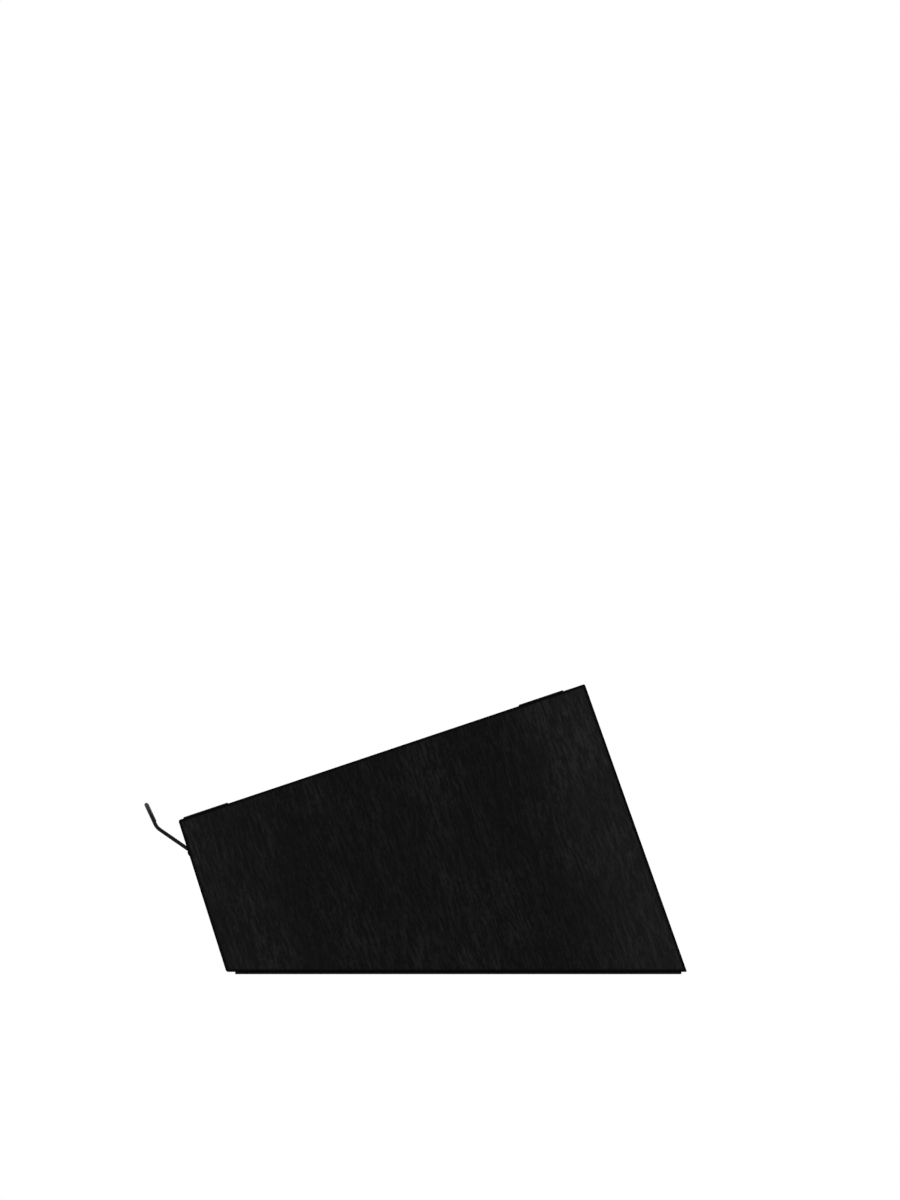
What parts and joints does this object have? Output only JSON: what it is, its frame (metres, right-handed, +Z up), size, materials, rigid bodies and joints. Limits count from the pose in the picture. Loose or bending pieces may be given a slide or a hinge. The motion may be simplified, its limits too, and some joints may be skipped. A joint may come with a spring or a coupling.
{
  "type": "laptop stand",
  "caption": "Wedge-shaped veneered box with a deck sloping up to the rear, and a bent sheet lip at the front edge that folds down flat on a hinge.",
  "frame": {"origin": "middle of the base pad's underside, on the desk", "axes": "+X to the user's right along the hinge, +Y to the rear, where the deck is highest, +Z up"},
  "size_m": [0.34, 0.2885, 0.1542],
  "materials": {
    "veneer": "black-stained open-pore oak veneer, matt lacquer",
    "plywood": "raw birch plywood",
    "hardwood": "raw planed beech",
    "pad_rubber": "fine-ribbed non-slip rubber sheet",
    "grip_silicone": "matt black silicone",
    "powder_coat": "fine-textured black powder coat on steel sheet",
    "screw_steel": "black zinc plating on steel",
    "pin_steel": "bright drawn steel",
    "nylon": "black nylon"
  },
  "bodies": {
    "stand": {"left_side_panel": "veneer", "right_side_panel": "veneer", "deck_panel": "veneer", "front_panel": "veneer", "rear_panel": "veneer", "base_panel": "veneer", "base_pad": "pad_rubber", "left_rib": "plywood", "right_rib": "plywood", "left_base_cleat": "hardwood", "right_base_cleat": "hardwood", "left_deck_cleat": "hardwood", "right_deck_cleat": "hardwood", "hinge_cleat": "hardwood", "front_grip_strip": "grip_silicone", "rear_grip_strip": "grip_silicone", "hinge_leaf": "powder_coat", "hinge_pin": "pin_steel", "left_friction_washer": "nylon", "right_friction_washer": "nylon", "hinge_screw_1": "screw_steel", "hinge_screw_2": "screw_steel", "hinge_screw_3": "screw_steel", "hinge_screw_4": "screw_steel", "base_screw_1": "screw_steel", "base_screw_2": "screw_steel", "base_screw_3": "screw_steel", "base_screw_4": "screw_steel", "base_screw_5": "screw_steel", "base_screw_6": "screw_steel"},
    "lip": {"lip_plate": "powder_coat", "lip_liner": "grip_silicone"}
  },
  "joints": [
    {"name": "lip_fold", "type": "hinge", "parent": "stand", "child": "lip", "pos_m": [0, -0.14142, 0.06494], "axis": [1, 0, 0], "range_deg": [0, 142]}
  ]
}
